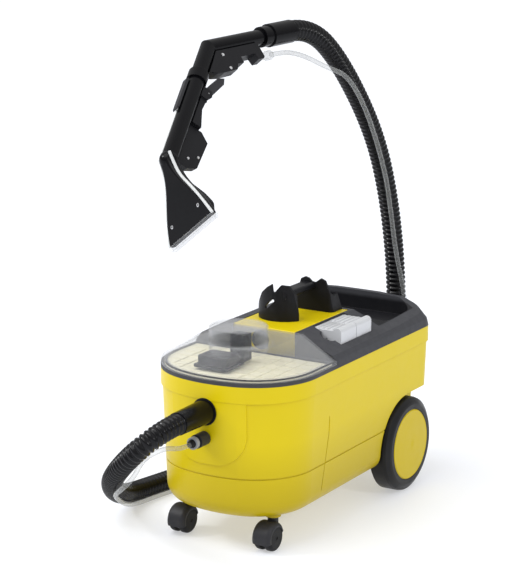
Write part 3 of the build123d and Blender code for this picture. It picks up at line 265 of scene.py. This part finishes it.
NODE_MATERIALS = {
    YELLOW: ["body_shell", "motor_cover"],
    HUB_SHADED_YELLOW: ["left_hub_cap", "right_hub_cap"],
    BLACK: ["handle_front", "handle_rear", "handle_grip", "switch_frame", "suction_duct", "turbine_housing",
            "exhaust_grille", "suction_socket", "valve_body", "spray_channel", "spray_valve", "hose_clips"],
    CHARCOAL: ["deck"],
    GLOSS_BLACK: ["hose_cuff", "swivel_cuff", "tool_grip", "tool_collar", "wand_tube", "nozzle_head"],
    CREAM: ["dirty_tank"],
    LIGHT_GREY: ["coupling_collar"],
    GREY: ["coupling_body", "latch_clip", "trigger_lever", "motor_tray", "water_pump",
           "left_caster_fork", "right_caster_fork"],
    SMOKE: ["float_cage"],
    WHITE: ["float_ball", "intake_filter"],
    SILVER: ["pump_switch", "vacuum_switch"],
    RUBBER: ["lid_seal", "cable_gland", "spray_plug", "left_caster_axle", "right_caster_axle",
             "left_caster_wheel_a", "left_caster_wheel_b", "right_caster_wheel_a", "right_caster_wheel_b"],
    TYRE: ["left_wheel", "right_wheel"],
    STEEL: ["switch_shaft", "rear_axle", "axle_clips", "caster_pins", "vacuum_motor", "trigger_pin"],
    LID_CLEAR: ["lid", "nozzle_window"],
    TUBE_CLEAR: ["pressure_pipe", "union_nut"],
}


def paint(obj, mat):
    """Put one material in all of an object's slots."""
    if not obj.data.materials:
        obj.data.materials.append(mat)
    for index in range(len(obj.data.materials)):
        obj.data.materials[index] = mat


for mat, names in NODE_MATERIALS.items():
    for name in names:
        paint(nodes[name], mat)


# ------------------------------------------------------------------ hoses
# control points of the two curves in millimetres, from the nose round the machine to the hand tool,
# the same as the CAD hoses have
SUCTION_ROUTE = [
    (0, -384, 266), (0, -416, 266), (-14, -462, 249), (-50, -463, 216), (-99, -432, 173),
    (-145, -384, 133), (-185, -322, 93), (-220, -252, 58), (-255, -177, 29), (-255, -95, 21.5),
    (-235, 10, 21.5), (-239, 125, 21.5), (-227, 246, 21.5), (-171, 334, 21.5), (-64, 366, 21.5),
    (25, 358, 26), (52, 344, 90), (51, 344, 215), (51, 343, 390), (51, 308, 555), (42, 258, 700),
    (24, 150, 850), (9.4, 59, 923), (-0.5, 0.1, 920.3),
]
SPRAY_ROUTE = [
    (0, -345, 217), (0, -374, 217), (1, -420, 232), (-14, -446, 225), (-40, -439, 204),
    (-57, -439, 172), (-87, -438, 143), (-121, -408, 120), (-154, -351, 87), (-186, -285, 53),
    (-225, -197, 18), (-237, -100, 5.8), (-211, 16, 5.8), (-214, 125, 5.8), (-199, 236, 5.8),
    (-152, 306, 5.8), (-60, 326, 5.8), (10, 312, 5.8), (58, 310, 12), (84, 328, 52),
    (81, 344, 115), (79, 345, 190), (79, 343, 290), (75, 329, 372), (67, 307, 452),
    (66, 289, 525), (64, 268, 610), (59, 227, 701), (54, 184, 772), (47, 134, 828),
    (28, 88, 846), (19, 44, 866), (16, 0, 880), (14.9, -47.6, 888), (9.1, -82.1, 886.2),
]


def nurbs_through(name, route):
    """Open quadratic NURBS curve object with the route as its control points."""
    data = bpy.data.curves.new(name, "CURVE")
    data.dimensions = "3D"
    data.resolution_u = 24
    spline = data.splines.new("NURBS")
    spline.points.add(len(route) - 1)
    for point, place in zip(spline.points, route):
        point.co = (place[0] * MM, place[1] * MM, place[2] * MM, 1)
    spline.order_u = 3
    spline.use_endpoint_u = True
    return link(bpy.data.objects.new(name, data))


def centreline(route, step):
    """Evenly spaced points on the route's NURBS curve, in metres."""
    curve = nurbs_through("centreline", route)
    bpy.context.view_layer.update()
    mesh = bpy.data.meshes.new_from_object(curve)
    raw = [vertex.co.copy() for vertex in mesh.vertices]
    bpy.data.objects.remove(curve)
    bpy.data.meshes.remove(mesh)
    along = [0.0]
    for near, far in zip(raw, raw[1:]):
        along.append(along[-1] + (far - near).length)
    count = round(along[-1] / step)
    points = []
    segment = 0
    for index in range(count + 1):
        distance = along[-1] * index / count
        while segment < len(raw) - 2 and along[segment + 1] < distance:
            segment += 1
        part = (distance - along[segment]) / (along[segment + 1] - along[segment])
        points.append(raw[segment].lerp(raw[segment + 1], part))
    return points, along[-1]


def add_ring(work, middle, side, other, radius, segments):
    """Circle of vertices round a middle, in the plane of two unit vectors."""
    ring = []
    for step in range(segments):
        turn = 2 * math.pi * step / segments
        ring.append(work.verts.new(middle + (side * math.cos(turn) + other * math.sin(turn)) * radius))
    return ring


def add_skin(work, rings):
    """Faces between neighbouring rings, and a cap on the first ring and on the last."""
    segments = len(rings[0])
    for near, far in zip(rings, rings[1:]):
        for step in range(segments):
            following = (step + 1) % segments
            work.faces.new((near[step], near[following], far[following], far[step]))
    work.faces.new(list(reversed(rings[0])))
    work.faces.new(rings[-1])


def smooth_object(name, work):
    """Object in the scene from a finished bmesh, with smooth shading."""
    for face in work.faces:
        face.smooth = True
    mesh = bpy.data.meshes.new(name)
    work.to_mesh(mesh)
    work.free()
    return link(bpy.data.objects.new(name, mesh))


def tube_mesh(name, points, radius_at, segments=28):
    """Tube round a line of points; radius_at gives the radius at a distance along it."""
    work = bmesh.new()
    rings = []
    side = Vector((0, 0, 1))
    distance = 0.0
    for index, point in enumerate(points):
        ahead = points[min(index + 1, len(points) - 1)]
        behind = points[max(index - 1, 0)]
        tangent = (ahead - behind).normalized()
        side = (side - tangent * side.dot(tangent)).normalized()
        other = tangent.cross(side)
        if index:
            distance += (point - points[index - 1]).length
        rings.append(add_ring(work, point, side, other, radius_at(distance), segments))
    add_skin(work, rings)
    return smooth_object(name, work)


HOSE_DIAMETER = 40 * MM
RIB_PITCH = 9.8 * MM
RIB_DEPTH = 3.4 * MM
RINGS_PER_RIB = 8
SPRAY_DIAMETER = 9 * MM
SPRAY_STEP = 4 * MM


def corrugation(distance):
    """Radius of the suction hose: rounded ribs with narrower valleys."""
    phase = (distance / RIB_PITCH) % 1.0
    wave = 0.5 + 0.5 * math.cos(2 * math.pi * phase)
    return HOSE_DIAMETER / 2 - RIB_DEPTH * (1 - wave**0.6)


def add_suction_hose():
    """Black corrugated suction hose, from the nose to the hand tool."""
    points, length = centreline(SUCTION_ROUTE, RIB_PITCH / RINGS_PER_RIB)
    hose = tube_mesh("corrugated_hose", points, corrugation)
    hose.data.materials.append(HOSE_BLACK)
    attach(hose, "machine")
    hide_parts("suction_hose")


def add_spray_hose():
    """Clear spray hose beside the suction hose."""
    hose = nurbs_through("clear_spray_hose", SPRAY_ROUTE)
    hose.data.bevel_depth = SPRAY_DIAMETER / 2
    hose.data.bevel_resolution = 5
    hose.data.use_fill_caps = True
    hose.data.materials.append(TUBE_CLEAR)
    points, length = centreline(SPRAY_ROUTE, SPRAY_STEP)
    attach(hose, "machine")
    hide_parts("spray_hose")


add_suction_hose()
add_spray_hose()


# ------------------------------------------------------------------ the hand tool's planes
# millimetres, as in the CAD: the grip's tube, the wand and the head follow one another, each turned
ELBOW = Vector((-37.2, -219.6, 909.8))
GRIP_DIRECTION = Vector((-0.1646, -0.9852, -0.0469)).normalized()
TOOL_NORMAL = Vector((0.7806, -0.1592, 0.6044)).normalized()
WAND_TURN = math.radians(39)
HEAD_TURN = math.radians(38.1)
WAND_LENGTH = 294.0
HEAD_LENGTH = 133.0
MOUTH_HALF = 62.0


class ToolPlane:
    """A plane of the hand tool: distances along it, inwards of it and across it, in millimetres."""

    def __init__(self, origin, along):
        self.origin = origin
        self.along = along
        self.inward = TOOL_NORMAL.cross(along)

    def turned(self, angle, reach):
        """The next tube's plane: turned by an angle, with its origin at a reach along the new direction."""
        along = self.along * math.cos(angle) + self.inward * math.sin(angle)
        return ToolPlane(self.origin + self.along * reach, along)

    def at(self, along, inward=0.0, across=0.0):
        """Place in metres."""
        return (self.origin + self.along * along + self.inward * inward + TOOL_NORMAL * across) * MM


GRIP = ToolPlane(ELBOW, GRIP_DIRECTION)
WAND = GRIP.turned(WAND_TURN, 0.0)
HEAD = WAND.turned(HEAD_TURN, WAND_LENGTH)


# ------------------------------------------------------------------ small pieces
def lathe(name, origin, axis, profile, segments=32):
    """Turned piece: profile holds (radius, height) pairs in millimetres, from the bottom to the top."""
    work = bmesh.new()
    side = axis.orthogonal().normalized()
    other = axis.cross(side).normalized()
    rings = []
    for radius, height in profile:
        rings.append(add_ring(work, origin + axis * (height * MM), side, other, radius * MM, segments))
    add_skin(work, rings)
    bmesh.ops.recalc_face_normals(work, faces=work.faces)
    return smooth_object(name, work)


def add_screw(name, place, axis, radius=3.2):
    """Pan-head screw with a round driver recess."""
    profile = [(radius, -1.5), (radius, 0.2), (radius * 0.94, 0.7), (radius * 0.78, 1.1),
               (radius * 0.45, 1.25), (radius * 0.36, 1.15), (radius * 0.30, 0.3), (0.05, 0.25)]
    screw = lathe(name, place, axis, profile)
    screw.data.materials.append(STEEL)
    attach(screw, "machine")


def add_bead(name, route, radius, mat):
    """Round bead along a smooth line of places in metres."""
    curve = nurbs_through(name, [place / MM for place in route])
    curve.data.resolution_u = 10
    curve.data.bevel_depth = radius * MM
    curve.data.bevel_resolution = 4
    curve.data.use_fill_caps = True
    curve.data.materials.append(mat)
    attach(curve, "machine")


BAR_EDGE = 0.7 * MM


def add_bar(name, body, low, high, mat):
    """Bar with rounded edges between two corners in millimetres."""
    work = bmesh.new()
    bmesh.ops.create_cube(work, size=1.0)
    size = Vector(high) - Vector(low)
    middle = (Vector(high) + Vector(low)) / 2
    for vertex in work.verts:
        vertex.co = Vector([middle[i] + vertex.co[i] * size[i] for i in range(3)]) * MM
    bmesh.ops.bevel(work, geom=work.edges[:], offset=BAR_EDGE, segments=3, profile=0.5, affect="EDGES")
    bar = smooth_object(name, work)
    bar.data.materials.append(mat)
    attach(bar, body)


# finger ridges on top of the rockers, in millimetres
RIDGE_LEFT_EDGES = (73.0, 83.0, 93.0, 103.0)
RIDGE_WIDTH = 5.5
RIDGE_FOOT = 370.5
RIDGE_TOP = 373.3
RIDGE_END_GAP = 4.0
for switch in ("pump_switch", "vacuum_switch"):
    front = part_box(switch)[0][1] / MM + RIDGE_END_GAP
    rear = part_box(switch)[1][1] / MM - RIDGE_END_GAP
    for index, x in enumerate(RIDGE_LEFT_EDGES):
        add_bar(f"{switch}_ridge_{index + 1}", switch, (x, front, RIDGE_FOOT),
                (x + RIDGE_WIDTH, rear, RIDGE_TOP), SILVER)

VALVE_FACE = 11.0             # half the valve body's width
SPRAY_FACE = 12.0             # half the spray valve's width
HEAD_FACE = -8.0              # the head's outer face, inwards of its plane
SMALL_SCREW = 2.4
LARGE_SCREW = 4.0
add_screw("grip_screw_upper", GRIP.at(-14, 23, VALVE_FACE), TOOL_NORMAL)
add_screw("grip_screw_lower", GRIP.at(-15, 51, VALVE_FACE), TOOL_NORMAL)
add_screw("valve_screw_upper", WAND.at(261, 44, SPRAY_FACE), TOOL_NORMAL, SMALL_SCREW)
add_screw("valve_screw_lower", WAND.at(276, 27, SPRAY_FACE), TOOL_NORMAL, SMALL_SCREW)
add_screw("head_screw_right", HEAD.at(107, HEAD_FACE, 38), -HEAD.inward, LARGE_SCREW)
add_screw("head_screw_left", HEAD.at(107, HEAD_FACE, -38), -HEAD.inward, LARGE_SCREW)

# clear edges that run down both sides of the head: distance along it and half its width there
HEAD_EDGE = [(-8, 15), (14, 16), (40, 20), (72, 37), (104, 51), (HEAD_LENGTH, MOUTH_HALF)]
HEAD_EDGE_RADIUS = 2.6
for side_name, side in (("left", -1), ("right", 1)):
    edge = [HEAD.at(along, HEAD_FACE + 1.5, side * across) for along, across in HEAD_EDGE]
    add_bead(f"head_edge_{side_name}", edge, HEAD_EDGE_RADIUS, TRIM_CLEAR)

wand_edge = [WAND.at(120, -15.2, -2), WAND.at(200, -15.6, -2), WAND.at(290, -15.2, -2)]
grip_seam = [GRIP.at(-110, 14.5, 8), GRIP.at(-60, 14.9, 8), GRIP.at(-6, 14.5, 8)]
add_bead("wand_edge", wand_edge, 1.5, TRIM_CLEAR)
add_bead("grip_seam", grip_seam, 1.2, LIGHT_GREY)


# ------------------------------------------------------------------ stage and light
FLOOR_HALF = 30.0
FLOOR_DARKER = (0.52, 0.54, 0.59)
FLOOR_LIGHTER = (0.54, 0.56, 0.61)
FLOOR_GLOW = 0.45             # lit from below as well, like the glass of a light table
WORLD_HORIZON = 0.35          # the studio's brightness at the horizon
WORLD_OVERHEAD = 0.85         # and from OVERHEAD_FROM upwards, on a scale where 1 is straight up
OVERHEAD_FROM = 0.7
LIGHT_TARGET = Vector((0, 0, 0.4))


def add_floor():
    """Pale square floor under the machine."""
    mesh = bpy.data.meshes.new("floor")
    corners = [(-1, -1), (1, -1), (1, 1), (-1, 1)]
    mesh.from_pydata([(x * FLOOR_HALF, y * FLOOR_HALF, 0) for x, y in corners], [], [(0, 1, 2, 3)])
    floor = link(bpy.data.objects.new("floor", mesh))
    mat, tree, shader, place = start_material("pale_floor", FLOOR_LIGHTER, 0.6)
    tree.links.new(blend_colors(tree, noise(tree, place, 3.0), FLOOR_DARKER, FLOOR_LIGHTER),
                   shader.inputs["Base Color"])
    shader.inputs["Emission Color"].default_value = (1.0, 1.0, 1.0, 1)
    shader.inputs["Emission Strength"].default_value = FLOOR_GLOW
    mesh.materials.append(mat)


def add_world():
    """White studio all round, brighter overhead than at the horizon."""
    world = bpy.data.worlds.new("studio")
    world.use_nodes = True
    background = world.node_tree.nodes["Background"]
    background.inputs["Color"].default_value = (1.0, 1.0, 1.0, 1)
    tree = world.node_tree
    direction = tree.nodes.new("ShaderNodeTexCoord").outputs["Generated"]
    split = tree.nodes.new("ShaderNodeSeparateXYZ")
    tree.links.new(direction, split.inputs["Vector"])
    height = tree.nodes.new("ShaderNodeMapRange")
    height.inputs["From Max"].default_value = OVERHEAD_FROM
    height.inputs["To Min"].default_value = WORLD_HORIZON
    height.inputs["To Max"].default_value = WORLD_OVERHEAD
    tree.links.new(split.outputs["Z"], height.inputs["Value"])
    tree.links.new(height.outputs["Result"], background.inputs["Strength"])
    bpy.context.scene.world = world


def add_light(name, place, size, power):
    """Soft square light aimed at the middle of the machine."""
    data = bpy.data.lights.new(name, "AREA")
    data.size = size
    data.energy = power
    light = link(bpy.data.objects.new(name, data))
    light.location = place
    aim(light, LIGHT_TARGET - light.location)


def add_sun(towards, strength, spread_degrees):
    """Broad soft sun that stands in a direction and keeps the floor evenly white."""
    data = bpy.data.lights.new("sun", "SUN")
    data.energy = strength
    data.angle = math.radians(spread_degrees)
    aim(link(bpy.data.objects.new("sun", data)), -Vector(towards))


add_floor()
add_world()
add_sun((-0.30, -0.45, 0.84), 1.5, 50)
add_light("left_softbox", (-2.6, -1.8, 2.6), 0.5, 40)
add_light("right_softbox", (2.8, -0.6, 2.0), 0.4, 22)
bpy.context.scene.view_settings.view_transform = "Standard"
